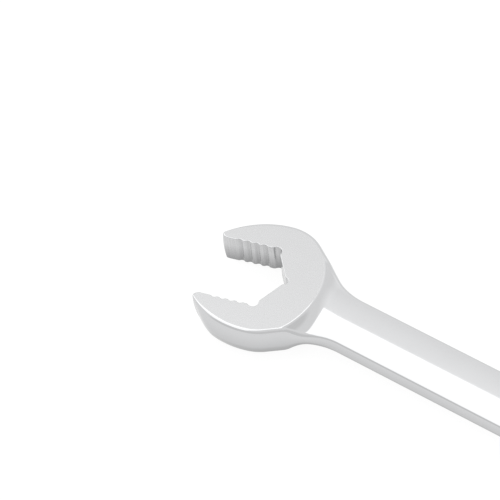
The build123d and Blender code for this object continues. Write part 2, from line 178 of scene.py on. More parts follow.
# ---- spacing of the outline's points ----
WALL_STEP = 0.4
TIP_STEP = 0.12
SHOULDER_STEP = 0.3
FLARE_STEP = 0.5
BAR_STEP = 1.3
RING_STEP = 0.6
MOUTH_STEP = 0.13
MOUTH_RAYS = 8000  # rays from the nut's centre that find the mouth's walls
MOUTH_PASSES = 5  # smoothing passes, which soften the grooves' edges
EDGE_BLEND = 0.6  # roundings and bulges blend over about this length of the outline


# ================= plan outline of the forging =================

def unit(angle):
    """The direction at an angle."""
    return np.array([cos(angle), sin(angle)])


def heading(start, end):
    """The angle of the way from one point to another."""
    return atan2(end[1] - start[1], end[0] - start[0])


def arc(centre, radius, start, end, step):
    """Points along an arc, without its last one."""
    count = max(2, ceil(abs(end - start) * radius / step))
    angles = start + (end - start) * np.arange(count) / count
    return np.array(centre) + radius * np.stack([np.cos(angles), np.sin(angles)], 1)


def line(start, end, step):
    """Points along a line, without its last one."""
    start, end = np.array(start), np.array(end)
    count = max(1, ceil(np.linalg.norm(end - start) / step))
    return start + (end - start) * (np.arange(count) / count)[:, None]


def rounded(points, radius, step):
    """A run of lines with rounded corners, without its last point."""
    points = [np.array(p, float) for p in points]
    made = []
    start = points[0]
    for before, corner, after in zip(points, points[1:], points[2:]):
        way_in = heading(before, corner)
        turn = (heading(corner, after) - way_in + pi) % (2 * pi) - pi
        reach = radius * tan(abs(turn) / 2)
        made.append(line(start, corner - reach * unit(way_in), step))
        side = 1 if turn > 0 else -1
        centre = corner - reach * unit(way_in) + side * radius * unit(way_in + pi / 2)
        first = way_in - side * pi / 2
        made.append(arc(centre, radius, first, first + turn, step))
        start = corner + reach * unit(way_in + turn)
    made.append(line(start, points[-1], step))
    return np.concatenate(made)


def circles_meet(first, first_r, second, second_r):
    """The crossing of two circles that lies to the right of the way from first to second."""
    first, second = np.array(first), np.array(second)
    span = np.linalg.norm(second - first)
    along = (first_r**2 - second_r**2 + span**2) / (2 * span)
    way = (second - first) / span
    return first + along * way + sqrt(first_r**2 - along**2) * np.array([way[1], -way[0]])


def flank(side):
    """One side in plan, from the jaw's lead-in round its tip, along the outer wall to the ring.

    Returns the points with their upper and lower rounding, bulge and sweep. The far side is worked
    out mirrored.
    """
    turn = side * HEAD_TURN
    shift = side * OUTLINE_SHIFT

    def place(a, b):
        c, s = cos(turn), sin(turn)
        return np.array([NUT[0] + a * c - b * s, side * NUT[1] + a * s + b * c])

    lead = place(LEAD_IN_START, JAW_HALF + LEAD_IN_R)
    front = place(FRONT_CENTRE[0], shift - FRONT_CENTRE[1])
    shoulder = place(SHOULDER_CENTRE[0], shift + SHOULDER_CENTRE[1])
    front_r = FRONT_R + HEAD_BULGE
    shoulder_r = SHOULDER_R + HEAD_BULGE
    tip = circles_meet(front, front_r - TIP_TUCK - TIP_R, lead, LEAD_IN_R - TIP_R)

    start_x, radius = FLARES[side]
    gap = shoulder - (start_x, SHANK_HALF + radius)
    slope = atan2(gap[1], gap[0]) + asin((radius + shoulder_r) / hypot(*gap))
    flare = np.array([start_x, SHANK_HALF + radius])
    lean = atan2(NECK_HALF, NECK_X) + acos(RING_R / hypot(NECK_X, NECK_HALF))

    wall = arc(front, front_r, heading(front, tip), heading(front, shoulder), WALL_STEP)
    grown = smooth(np.linalg.norm(wall - wall[0], axis=1) / TIP_FADE)
    wall = front + (wall - front) * (1 - TIP_TUCK * (1 - grown) / front_r)[:, None]
    lead_in = arc(lead, LEAD_IN_R, turn - pi / 2, heading(lead, tip), TIP_STEP)
    lead_sweep = NOSE_SWEEP * smooth(np.linspace(0, 1, len(lead_in)))
    nose = arc(tip, TIP_R, heading(lead, tip), heading(front, tip), TIP_STEP)
    nose_sweep = blend(NOSE_SWEEP, 1, smooth(np.linspace(0, 1, len(nose))))
    runs = [
        (lead_in, JAW_EDGE, JAW_EDGE, 0, TIP_SWEEP * lead_sweep),
        (nose, TIP_EDGE, TIP_FOOT, TIP_BULGE, TIP_SWEEP * nose_sweep),
        (wall, blend(TIP_EDGE, HEAD_EDGE, grown), blend(TIP_FOOT, HEAD_EDGE, grown),
         blend(TIP_BULGE, HEAD_BULGE, grown), TIP_SWEEP * (1 - grown)),
        (arc(shoulder, shoulder_r, heading(front, shoulder), pi / 2 + slope, SHOULDER_STEP),
         HEAD_EDGE, HEAD_EDGE, HEAD_BULGE, 0),
    ]
    flare_end = flare + radius * unit(slope - pi / 2)
    web = np.concatenate([
        line(shoulder + shoulder_r * unit(pi / 2 + slope), flare_end, WALL_STEP),
        arc(flare, radius, slope - pi / 2, -pi / 2, FLARE_STEP),
    ])
    fade = eased(web[:, 0], start_x, web[0, 0])
    web_edge = blend(SHANK_ROUND, HEAD_EDGE, fade)
    runs.append((web, web_edge, web_edge, blend(SHANK_BULGE, HEAD_BULGE, fade), 0))
    bar = rounded([(start_x, SHANK_HALF), (SHANK_START_X, SHANK_HALF),
                   (NECK_X, NECK_HALF), RING_R * unit(lean)], NECK_FILLET_R, BAR_STEP)
    near_ring = eased(bar[:, 0], SHANK_START_X, NECK_X)
    bar_edge = blend(SHANK_ROUND, RING_EDGE, near_ring)
    runs.append((bar, bar_edge, bar_edge, SHANK_BULGE * (1 - near_ring), 0))
    rows = []
    for points, *values in runs:
        columns = [np.broadcast_to(value, len(points)) for value in values]
        rows.append(np.column_stack([points, *columns]))
    rows = np.concatenate(rows)
    inwards = front - rows[:, :2]
    inwards /= np.linalg.norm(inwards, axis=1, keepdims=True)
    rows = np.column_stack([rows[:, :-1], rows[:, -1:] * inwards])
    rows[:, [1, -1]] *= side
    return rows, lean


def smooth(t):
    """Eases from 0 to 1."""
    t = np.clip(t, 0, 1)
    return t * t * (3 - 2 * t)


def eased(x, start, end):
    """Eases from 0 at start to 1 at end."""
    return smooth((x - start) / (end - start))


def blend(first, second, t):
    """From the first value to the second as t goes from 0 to 1."""
    return first + (second - first) * t


def from_head(points):
    """Plan points that are given from the nut's centre, along and across the head's axis."""
    c, s = cos(HEAD_TURN), sin(HEAD_TURN)
    return NUT + points @ np.array([[c, s], [-s, c]])


def mouth_curve():
    """The jaws' inner faces from the far lead-in to the near one: flats, grooves and reliefs."""
    groove_r = ((GROOVE_WIDTH / 2) ** 2 + GROOVE_DEPTH**2) / (2 * GROOVE_DEPTH)
    pockets = [(THROAT_RELIEF, 0, THROAT_RELIEF_R)]
    for side in (-1, 1):
        pockets.append((JAW_RELIEF[0], side * JAW_RELIEF[1], JAW_RELIEF_R))
        for index in range(GROOVES):
            groove_x = GROOVE_FIRST + index * GROOVE_PITCH
            pockets.append((groove_x, side * (JAW_HALF + GROOVE_DEPTH - groove_r), groove_r))
    lead_angle = atan2(JAW_HALF, LEAD_IN_START)
    angles = np.linspace(2 * pi - lead_angle, lead_angle, MOUTH_RAYS)
    reach = JAW_HALF / np.maximum(np.abs(np.sin(angles)), TINY)
    behind = np.cos(angles) < 0
    for flat in (5 * pi / 6, 7 * pi / 6):
        across = np.maximum(np.cos(angles - flat), TINY)
        reach = np.where(behind, np.minimum(reach, JAW_HALF / across), reach)
    for x, y, radius in pockets:
        along = x * np.cos(angles) + y * np.sin(angles)
        chord = radius**2 - x**2 - y**2 + along**2
        far_wall = np.where((chord > 0) & (along > 0), along + np.sqrt(np.maximum(chord, 0)), 0)
        reach = np.maximum(reach, far_wall)
    curve = resample(reach[:, None] * np.stack([np.cos(angles), np.sin(angles)], 1), MOUTH_STEP)
    for _ in range(MOUTH_PASSES):
        curve[1:-1] = (curve[:-2] + 2 * curve[1:-1] + curve[2:]) / 4
    return from_head(curve[1:-1])


def resample(curve, step):
    """The same curve with even spacing."""
    lengths = np.concatenate([[0], np.cumsum(np.linalg.norm(np.diff(curve, axis=0), axis=1))])
    places = np.linspace(0, lengths[-1], ceil(lengths[-1] / step))
    return np.stack([np.interp(places, lengths, curve[:, k]) for k in (0, 1)], 1)


def upright(points, edge):
    """Outline points of a wall without a bulge or a sweep."""
    return np.column_stack([points, np.full((len(points), 2), edge), np.zeros((len(points), 3))])


def forging_outline():
    """The plan outline, anticlockwise: x, y, upper and lower rounding, bulge, x and y sweep."""
    near, lean = flank(1)
    far, _ = flank(-1)
    ring = upright(arc((0, 0), RING_R, lean, 2 * pi - lean, RING_STEP), RING_EDGE)
    outline = np.concatenate([near, ring, far[::-1], upright(mouth_curve(), JAW_EDGE)])
    gaps = np.linalg.norm(np.roll(outline[:, :2], -1, 0) - outline[:, :2], axis=1)
    places = np.concatenate([[0], np.cumsum(gaps)[:-1]])
    apart = np.abs(places[:, None] - places[None, :])
    apart = np.minimum(apart, gaps.sum() - apart)
    weight = np.exp(-((apart / EDGE_BLEND) ** 2)) * (gaps + np.roll(gaps, 1))[None, :]
    outline[:, 2:] = weight @ outline[:, 2:] / weight.sum(1, keepdims=True)
    return outline


def outward(points):
    """Unit normals of a closed anticlockwise outline."""
    ahead = np.roll(points, -1, 0) - points
    behind = points - np.roll(points, 1, 0)
    ahead /= np.linalg.norm(ahead, axis=1, keepdims=True)
    behind /= np.linalg.norm(behind, axis=1, keepdims=True)
    way = ahead + behind
    way /= np.linalg.norm(way, axis=1, keepdims=True)
    return np.stack([way[:, 1], -way[:, 0]], 1)


# ================= heights of the forging's two faces =================

def face_distance(x, y):
    """Distance from the edge of the head's flat face, in plan, positive outside it."""
    c, s = cos(HEAD_TURN), sin(HEAD_TURN)
    a = (x - NUT[0]) * c + (y - NUT[1]) * s
    b = -(x - NUT[0]) * s + (y - NUT[1]) * c - OUTLINE_SHIFT
    b = np.abs(b)
    back = np.hypot(a - BACK_CENTRE, b) - BACK_R
    shoulder = np.hypot(a - SHOULDER_CENTRE[0], b - SHOULDER_CENTRE[1]) - SHOULDER_R
    front = np.hypot(a - FRONT_CENTRE[0], b + FRONT_CENTRE[1]) - FRONT_R
    from_back = np.arctan2(b, a - BACK_CENTRE)
    from_shoulder = np.arctan2(b - SHOULDER_CENTRE[1], a - SHOULDER_CENTRE[0])
    use_back = from_back > BACK_LIMIT
    use_shoulder = ~use_back & (from_shoulder > FRONT_LIMIT)
    return np.where(use_back, back, np.where(use_shoulder, shoulder, front)) + FACE_INSET


def shank_height(y):
    """Half thickness of the shank: crowned, and falling away gently over the flares."""
    u = np.abs(y) / (SHANK_HALF - SHANK_CROWN_EDGE)
    beyond = 1 + CROWN_FADE * (1 - np.exp(-2 * (np.maximum(u, 1) - 1) / CROWN_FADE))
    return SHANK_EDGE + SHANK_CROWN * (1 - np.where(u < 1, u * u, beyond))


def cove(height, distance):
    """Raises a face to the head's, over a rounded edge and a hollow step."""
    tail = np.maximum(COVE_RUN + COVE_TAIL - np.maximum(distance, 0), 0)
    height = height + COVE_TAIL_SLOPE * tail**2 / (2 * COVE_TAIL)
    drop = np.maximum(HEAD_HALF - height, 0)
    radii = FACE_EDGE_R + COVE_R
    slope = np.arccos(1 - drop / radii)
    run = radii * np.sin(slope)
    lip = HEAD_HALF - FACE_EDGE_R + np.sqrt(np.maximum(FACE_EDGE_R**2 - distance**2, 0))
    hollow = height + COVE_R - np.sqrt(np.maximum(COVE_R**2 - (run - distance) ** 2, 0))
    out = np.where(distance < FACE_EDGE_R * np.sin(slope), lip, hollow)
    out = np.where(distance > run, height, out)
    return np.where(distance < 0, HEAD_HALF, out)


def top_height(x, y):
    """The upper face: ring, step, neck, slope, crowned shank, hollow step and head."""
    neck = blend(NECK_TOP, shank_height(y), eased(x, NECK_X, UPPER_SLOPE_END_X))
    fall = 1 - (1 - np.clip((np.hypot(x, y) - STEP_R) / STEP_RUN, 0, 1)) ** STEP_POWER
    low = np.where(x < TOP_SPLIT_X, blend(RING_HALF, NECK_TOP, fall), neck)
    return np.where(x > SHANK_START_X, cove(low, face_distance(x, y)), low)


def bottom_height(x, y):
    """The lower face, as a positive depth: ring, long slope, crowned shank, hollow step, head."""
    low = blend(RING_HALF, shank_height(y), eased(x, LOWER_SLOPE_X, LOWER_SLOPE_END_X))
    return np.where(x > SHANK_START_X, cove(low, face_distance(x, y)), low)


# ================= slab meshes =================

def inside(points, outline):
    """Which points lie inside a closed outline."""
    x, y = points[:, 0:1], points[:, 1:2]
    x1, y1 = outline[:, 0], outline[:, 1]
    x2, y2 = np.roll(x1, -1), np.roll(y1, -1)
    spans = (y1 > y) != (y2 > y)
    cross = x1 + (y - y1) * (x2 - x1) / np.where(y2 == y1, 1e-12, y2 - y1)
    return (np.sum(spans & (x < cross), axis=1) % 2) == 1


class Crowd:
    """Points on a grid of cells, which tells whether a new point is too near one already there."""

    def __init__(self, cell=0.3):
        self.cell = cell
        self.cells = {}

    def key(self, point):
        return int(point[0] // self.cell), int(point[1] // self.cell)

    def add(self, points):
        for point in points:
            self.cells.setdefault(self.key(point), []).append(point)

    def near(self, point, gap):
        i, j = self.key(point)
        reach = int(gap // self.cell) + 1
        for di in range(-reach, reach + 1):
            for dj in range(-reach, reach + 1):
                for x, y in self.cells.get((i + di, j + dj), ()):
                    if (x - point[0]) ** 2 + (y - point[1]) ** 2 < gap * gap:
                        return True
        return False


def fill_points(rim, chains, scatter):
    """The points inside a rim, and the edges along chains that the triangles have to keep.

    Each chain or scatter is (points, gap): a point closer than gap to those before it is left out.
    """
    crowd = Crowd()
    crowd.add(rim)
    points = []
    links = []
    for chain, gap in chains:
        kept = []
        joined = False
        for point, good in zip(chain, inside(chain, rim)):
            good = good and not crowd.near(point, gap)
            if good:
                points.append(point)
                kept.append(point)
            if good and joined:
                links.append((len(points) - 2, len(points) - 1))
            joined = good
        crowd.add(kept)
    for cloud, gap in scatter:
        for point, good in zip(cloud, inside(cloud, rim)):
            if good and not crowd.near(point, gap):
                points.append(point)
                crowd.add([point])
    return np.array(points), links


def cap(rim, chains, scatter):
    """The points inside a rim and the triangles over it, which count the rim's points first."""
    scatter = [(cloud(rim) if callable(cloud) else cloud, gap) for cloud, gap in scatter]
    inner, links = fill_points(rim, chains, scatter)
    plan = np.concatenate([rim, inner])
    count = len(rim)
    sides = [(i, (i + 1) % count) for i in range(count)]
    sides += [(count + i, count + j) for i, j in links]
    flat, _, tris, sources, _, _ = delaunay_2d_cdt([Vector(p) for p in plan], sides, [], 0, 1e-7)
    if len(flat) != len(plan):
        raise RuntimeError(f"the cap's outline crosses itself: {len(flat)} for {len(plan)}")
    index = np.array([ids[0] for ids in sources])
    tris = index[np.array(tris)]
    return inner, tris[inside(plan[tris].mean(1), rim)]

def ring_faces(rings, count, closed=False):
    """The faces between rings of count points each; closed joins the last ring to the first."""
    faces = []
    for ring in range(rings if closed else rings - 1):
        a, b = ring * count, (ring + 1) % rings * count
        for i in range(count):
            j = (i + 1) % count
            faces.append((a + i, b + i, b + j, a + j))
    return faces
def slab(outline, edge, foot, bulge, top, bottom, chains, scatter, arc_rows=6, wall_rows=8,
         sweep=0):
    """A closed mesh between two height functions, with rounded edges and bulging walls.

    outline is anticlockwise. Per point, edge and foot round the upper and lower edges, and bulge is
    how far the wall stands out. chains and scatter hold the points inside, as fill_points takes
    them; a scatter may be a function of the rim. sweep is how far the bottom lies from the top.
    """
    normals = outward(outline)
    count = len(outline)

    def inset(amount):
        return outline - amount[:, None] * normals

    middle_plan = inset(edge + bulge)
    half = (top(*middle_plan.T) + bottom(*middle_plan.T)) / 2
    lean = np.arctan(2 * bulge / half)

    def rounding(radius, height, sign):
        """A face's rim, and the levels from it over its rounded edge."""
        reach = radius * np.tan(pi / 4 - lean / 2)
        rim = inset(bulge + reach) + (sweep if sign < 0 else 0)
        face = sign * height(*rim.T)
        levels = []
        for k in range(arc_rows + 1):
            angle = (pi / 2 - lean) * k / arc_rows
            depth = radius * (1 - np.cos(angle))
            levels.append((bulge + reach - radius * np.sin(angle), face - sign * depth))
        return rim, levels

    upper_rim, upper = rounding(edge, top, 1)
    lower_rim, lower = rounding(foot, bottom, -1)
    high, low = upper[-1][1], lower[-1][1]
    face_high, face_low = upper[0][1], lower[0][1]
    middle, half = (face_high + face_low) / 2, (face_high - face_low) / 2
    levels = upper
    for k in range(1, wall_rows):
        z = high - (high - low) * k / wall_rows
        levels.append((bulge * ((z - middle) / half) ** 2, z))
    levels += lower[::-1]

    verts = []
    for amount, z in levels:
        depth = (face_high - z) / (face_high - face_low)
        verts.append(np.column_stack([inset(amount) + sweep * depth[:, None], z]))
    faces = ring_faces(len(levels), count)
    base = len(levels) * count
    for rim, start, height, sign in ((upper_rim, 0, top, 1), (lower_rim, base - count, bottom, -1)):
        inner, tris = cap(rim, chains, scatter)
        verts.append(np.column_stack([inner, sign * height(*inner.T)]))
        for ids in tris[:, ::sign].tolist():
            faces.append(tuple(start + v if v < count else base + v - count for v in ids))
        base += len(inner)
    return np.concatenate(verts), faces


def grid_points(low, high, across, along):
    """A staggered grid over a rectangle."""
    made = []
    for row, y in enumerate(np.arange(low[1], high[1], along)):
        xs = np.arange(low[0] + (row % 2) * across / 2, high[0], across)
        made.append(np.column_stack([xs, np.full(len(xs), y)]))
    return np.concatenate(made)


def plate(name, shape, edge, top, bottom, scatter, arc_rows, wall_rows):
    """A piece with upright walls and the same rounding all round."""
    edge = np.full(len(shape), edge)
    return make_object(name, *slab(shape, edge, edge, 0 * edge, top, bottom, [], scatter,
                                   arc_rows, wall_rows))


def inner_loop(depth):
    """Points that follow the rim at a depth inside it."""
    return lambda rim: rim - depth * outward(rim)
def even(height):
    """A height function that is the same everywhere."""
    return lambda x, y: np.full(len(x), height)


# ================= Blender helpers =================

def make_object(name, verts, faces):
    """A piece with a mesh of its own, from points in millimetres."""
    mesh = bpy.data.meshes.new(name)
    mesh.from_pydata((np.asarray(verts) * MM).tolist(), [], faces)
    mesh.validate()
    mesh.update()
    piece = bpy.data.objects.new(name, mesh)
    bpy.context.scene.collection.objects.link(piece)
    return piece


def coat(piece, *materials):
    """Gives a piece its materials."""
    piece.data.materials.clear()
    for material in materials:
        piece.data.materials.append(material)


def lathe(name, profile, centre=(0, 0), segments=192):
    """A closed solid of revolution about a vertical axis; profile is (radius, z), axis to axis."""
    angles = 2 * pi * np.arange(segments) / segments
    verts = []
    rings = []
    for radius, z in profile:
        if radius == 0:
            rings.append([len(verts)])
            verts.append((centre[0], centre[1], z))
            continue
        rings.append(list(range(len(verts), len(verts) + segments)))
        for angle in angles:
            verts.append((centre[0] + radius * cos(angle), centre[1] + radius * sin(angle), z))
    faces = []
    for lower, upper in zip(rings, rings[1:]):
        for i in range(segments):
            j = (i + 1) % segments
            if len(lower) == 1:
                faces.append((lower[0], upper[j], upper[i]))
            elif len(upper) == 1:
                faces.append((lower[i], lower[j], upper[0]))
            else:
                faces.append((lower[i], lower[j], upper[j], upper[i]))
    return make_object(name, verts, faces)


def combine(piece, tool, operation):
    """Cuts a tool out of a piece, or joins it on, for good."""
    step = piece.modifiers.new("combine", "BOOLEAN")
    step.operation = operation
    step.solver = "MANIFOLD"
    step.object = tool
    bpy.context.view_layer.update()
    depsgraph = bpy.context.evaluated_depsgraph_get()
    mesh = bpy.data.meshes.new_from_object(piece.evaluated_get(depsgraph))
    piece.modifiers.clear()
    piece.data = mesh
    bpy.data.objects.remove(tool)


def shade(piece, sharp=32):
    """Smooth shading with creases kept, weighted so that flat faces stay flat."""
    mesh = piece.data
    mesh.polygons.foreach_set("use_smooth", [True] * len(mesh.polygons))
    mesh.set_sharp_from_angle(angle=radians(sharp))
    weights = piece.modifiers.new("weights", "WEIGHTED_NORMAL")
    weights.keep_sharp = True


def keep_flats(mesh):
    """Creases where two materials meet, so that ground flats shade dead flat."""
    seen = {}
    sharp = mesh.attributes.get("sharp_edge")
    sharp = sharp or mesh.attributes.new("sharp_edge", "BOOLEAN", "EDGE")
    for face in mesh.polygons:
        for edge in face.edge_keys:
            if seen.setdefault(edge, face.material_index) != face.material_index:
                seen[edge] = -1
    for edge in mesh.edges:
        if seen.get(edge.key) == -1:
            sharp.data[edge.index].value = True


# ================= materials =================

METAL_DETAIL = 4.0  # of the noise behind colour and roughness
FINER = 3.1  # how much finer the roughness drifts than the colour
BUMP_DETAIL = 2.0
UPRIGHT_SHADES = ((0.82, -0.3, 0.3), (0.33, -0.6, -0.1))  # painted shade on upright chrome: least colour factor, and the normals' z it spans
UNDERNEATH = (-0.85, -0.7)  # normals' z below which those painted shades end
GROOVE_SHADE = 0.85  # painted shade: colour left at the floor of the jaws' grooves
GROOVE_SHADE_START = 0.05  # how deep behind the flats that painted shade starts
JAW_FOOT_SHADE = 0.52  # painted shade's colour at the lower edge of the jaws' cut faces
JAW_FOOT_END = 1.5  # height where that painted shade ends


def feed(tree, node, inputs):
    """Sets a node's inputs to plain values or to other nodes' sockets."""
    for key, value in inputs.items():
        if isinstance(value, bpy.types.NodeSocket):
            tree.links.new(value, node.inputs[key])
        else:
            node.inputs[key].default_value = value
    return node


def node_material(name):
    """A material with its shader, and the place in the piece's own space as a socket."""
    material = bpy.data.materials.new(name)
    material.use_nodes = True
    tree = material.node_tree
    tree.nodes.clear()
    output = tree.nodes.new("ShaderNodeOutputMaterial")
    shader = tree.nodes.new("ShaderNodeBsdfPrincipled")
    tree.links.new(shader.outputs[0], output.inputs["Surface"])
    place = tree.nodes.new("ShaderNodeTexCoord")
    return material, tree, shader, place.outputs["Object"]


def new_node(tree, kind, inputs, operation=None):
    """A shader node, with its inputs set as feed sets them."""
    node = tree.nodes.new("ShaderNode" + kind)
    if operation:
        node.operation = operation
    return feed(tree, node, inputs)


def noise(tree, place, per_mm, detail, stretch=None):
    """Noise in the piece's own space; per_mm is its frequency."""
    if stretch:
        place = new_node(tree, "Mapping", {"Scale": stretch, "Vector": place}).outputs[0]
    inputs = {"Scale": per_mm / MM, "Detail": detail, "Vector": place}
    return new_node(tree, "TexNoise", inputs).outputs["Fac"]


def ranged(tree, value, low, high, from_low=0.3, from_high=0.7):
    """Carries from_low and from_high over to low and high, and stays there beyond them."""
    inputs = {"From Min": from_low, "From Max": from_high, "To Min": low, "To Max": high}
    return new_node(tree, "MapRange", {**inputs, "Value": value}).outputs[0]


def computed(tree, operation, *values):
    """The result of a sum, a product or the like of sockets and numbers."""
    return new_node(tree, "Math", dict(enumerate(values)), operation).outputs[0]


def component(tree, vector, axis):
    """One component of a vector socket."""
    return new_node(tree, "SeparateXYZ", {0: vector}).outputs[axis]


def reach_along(tree, vector, direction):
    """How far a vector socket reaches in a direction."""
    return new_node(tree, "VectorMath", {0: vector, 1: direction}, "DOT_PRODUCT").outputs["Value"]


def mixed(tree, blend_type, factor, first, second):
    """The mix of two colours."""
    step = tree.nodes.new("ShaderNodeMix")
    step.data_type = "RGBA"
    step.blend_type = blend_type
    return feed(tree, step, {"Factor": factor, "A": first, "B": second}).outputs["Result"]


def bump(tree, value, shader, depth_mm):
    """Gives a shader waves of a depth, from a socket between 0 and 1."""
    step = new_node(tree, "Bump", {"Strength": 1.0, "Distance": depth_mm * MM, "Height": value})
    feed(tree, shader, {"Normal": step.outputs[0]})


def patchy(tree, shader, colour, low, high, patches):
    """Colours a shader between two levels of a colour, in patches."""
    shades = [(*[level * c for c in colour], 1) for level in (low, high)]
    feed(tree, shader, {"Base Color": mixed(tree, "MIX", ranged(tree, patches, 0, 1), *shades)})


def metal(name, colour, colour_spread, rough, rough_spread, patch_per_mm, bump_mm,
          bump_per_mm, stretch=None):
    """A metal whose colour and roughness drift in patches, over a faint waviness."""
    material, tree, shader, place = node_material(name)
    shader.inputs["Metallic"].default_value = 1.0
    patches = noise(tree, place, patch_per_mm, METAL_DETAIL, stretch)
    patchy(tree, shader, colour, 1 - colour_spread, 1 + colour_spread, patches)
    fine = noise(tree, place, patch_per_mm * FINER, METAL_DETAIL, stretch)
    roughness = ranged(tree, fine, rough - rough_spread, rough + rough_spread)
    feed(tree, shader, {"Roughness": roughness})
    if bump_mm:
        bump(tree, noise(tree, place, bump_per_mm, BUMP_DETAIL, stretch), shader, bump_mm)
    return material


def multiplied(tree, factor):
    """Multiplies the colour of a tree's shader by a grey factor."""
    colour = tree.nodes["Principled BSDF"].inputs["Base Color"]
    tree.links.new(mixed(tree, "MULTIPLY", 1.0, colour.links[0].from_socket, factor), colour)


def painted_shade_below(material):
    """Painted shade on a metal where it stands upright, darker towards its lower edge, but not underneath."""
    tree = material.node_tree
    normal = tree.nodes.new("ShaderNodeNewGeometry").outputs["Normal"]
    height = component(tree, normal, "Z")
    underneath = ranged(tree, height, 1.0, 0.0, *UNDERNEATH)
    # painted shade, by how far the normal tips down
    for low, start, end in UPRIGHT_SHADES:
        shade_left = ranged(tree, height, low, 1.0, start, end)
        multiplied(tree, computed(tree, "MAXIMUM", shade_left, underneath))


def broached_with_painted_shade(name):
    """Chrome over the jaws' cut faces: streaked down the cut, with painted shade in the grooves and low down."""
    material = metal(name, (0.57, 0.572, 0.577), 0.07, 0.22, 0.06, 2.2, 0.004, 2.4, (1, 1, 0.06))
    tree = material.node_tree
    place = tree.nodes.new("ShaderNodeTexCoord").outputs["Object"]

    def from_nut(direction):
        """The distance from the nut's centre in a direction, as a node socket."""
        reach = reach_along(tree, place, (*direction, 0))
        return computed(tree, "SUBTRACT", reach, float(NUT @ direction) * MM)

    c, s = cos(HEAD_TURN), sin(HEAD_TURN)
    # painted shade on the grooves' floors
    depth = ranged(tree, computed(tree, "ABSOLUTE", from_nut((-s, c))), 0.0, 1.0,
                   (JAW_HALF + GROOVE_SHADE_START) * MM, (JAW_HALF + GROOVE_DEPTH) * MM)
    last_groove = GROOVE_FIRST + (GROOVES - 1) * GROOVE_PITCH + GROOVE_WIDTH / 2
    grooved = ranged(tree, from_nut((c, s)), 1.0, 0.0, last_groove * MM, (last_groove + 1) * MM)
    in_groove = computed(tree, "MULTIPLY", depth, grooved)
    multiplied(tree, ranged(tree, in_groove, 1.0, GROOVE_SHADE, 0.0, 1.0))
    # painted shade, darker towards the jaws' lower edge
    height = component(tree, place, "Z")
    multiplied(tree, ranged(tree, height, JAW_FOOT_SHADE, 1.0, -HEAD_HALF * MM, JAW_FOOT_END * MM))
    return material


def rubber(name, colour):
    """Black rubber with a fine moulded grain."""
    material, tree, shader, place = node_material(name)
    grain = noise(tree, place, 4.0, 3.0)
    patchy(tree, shader, colour, 1, 1.6, grain)
    feed(tree, shader, {"Roughness": ranged(tree, grain, 0.5, 0.7)})
    bump(tree, grain, shader, 0.01)
    return material


# colour and its spread, roughness and its spread, patches per mm, waves' depth and number per mm
chrome = metal("chrome_polished", (0.60, 0.603, 0.61), 0.008, 0.07, 0.015, 0.12, 0.002, 0.15)
# painted shade on the chrome's upright walls, darker towards their lower edges
painted_shade_below(chrome)
satin = metal("chrome_satin", (0.512, 0.514, 0.518), 0.006, 0.27, 0.006, 0.3, 0, 2.0)
gear_steel = metal("gear_steel", (0.5, 0.5, 0.505), 0.03, 0.22, 0.05, 0.5, 0.003, 3.0)
pin_steel = metal("pin_steel", (0.52, 0.52, 0.53), 0.02, 0.18, 0.04, 0.8, 0.002, 3.0)
spring_steel = metal("spring_steel", (0.30, 0.30, 0.31), 0.04, 0.30, 0.06, 0.8, 0.003, 3.0)
lever_chrome = metal("lever_chrome", (0.62, 0.623, 0.63), 0.01, 0.13, 0.03, 0.3, 0.002, 0.8)
# broached streaks, with painted shade in the grooves and towards the lower edge
jaw_chrome = broached_with_painted_shade("jaw_chrome")
seal_rubber = rubber("seal_rubber", (0.018, 0.018, 0.019))


# ================= the forging =================

LOOP_STEP = 0.3
LOOP_TAIL = 0.25  # how far the loops run on along the front arcs, as an angle
EDGE_LOOPS = np.linspace(0, 0.92, 9)  # in shares of FACE_EDGE_R
COVE_LOOPS = np.arange(FACE_EDGE_R + 0.15, 4.6, 0.27)  # outside the flat face
FACE_LOOP = -0.2  # and inside it
STEP_LOOPS = np.linspace(-0.1, 1.1, 13)  # in shares of STEP_RUN
STEP_HALF_ANGLE = 0.95  # those lie this far to both sides of the shank
HEAD_START_X = NUT[0] - 27
CUTTER_OVER = 3.0  # how far the cutters stand out of the forging
RIM_OVER = 0.01  # the bevelled rims' cones start this far outside the faces
POCKET_RIM = 0.25
STEM_RIM = 0.2
PIN_RIM = 0.15
CAVITY_START_X = 2.0
CAVITY_STEP = 0.2
FLAT_NORMAL = 0.9999  # normals' z of the ground flats, at least
WALL_NORMAL = 0.3  # and of the jaws' cut walls, at most
HEAD_SKIN = 0.01  # the ground flats lie within these depths of the faces
RING_SKIN = 0.02
HEAD_REACH = 40.0  # the head's flats lie less far behind the nut's centre
JAW_WALL_REACH = 15.5  # the mouth's walls lie this near the nut's centre


def cove_loop(distance):
    """A chain round the back of the head, at a distance outside the flat face's edge."""
    loop = []
    for (x, y), radius, start, end in (
            ((FRONT_CENTRE[0], -FRONT_CENTRE[1]), FRONT_R, FRONT_LIMIT - LOOP_TAIL, FRONT_LIMIT),
            (SHOULDER_CENTRE, SHOULDER_R, FRONT_LIMIT, BACK_LIMIT),
            ((BACK_CENTRE, 0), BACK_R, BACK_LIMIT, 2 * pi - BACK_LIMIT),
            ((SHOULDER_CENTRE[0], -SHOULDER_CENTRE[1]), SHOULDER_R,
             2 * pi - BACK_LIMIT, 2 * pi - FRONT_LIMIT),
            (FRONT_CENTRE, FRONT_R, 2 * pi - FRONT_LIMIT, 2 * pi - FRONT_LIMIT + LOOP_TAIL)):
        grown = radius + (distance - FACE_INSET)
        loop.append(arc((x, OUTLINE_SHIFT + y), grown, start, end, LOOP_STEP))
    return from_head(np.concatenate(loop))


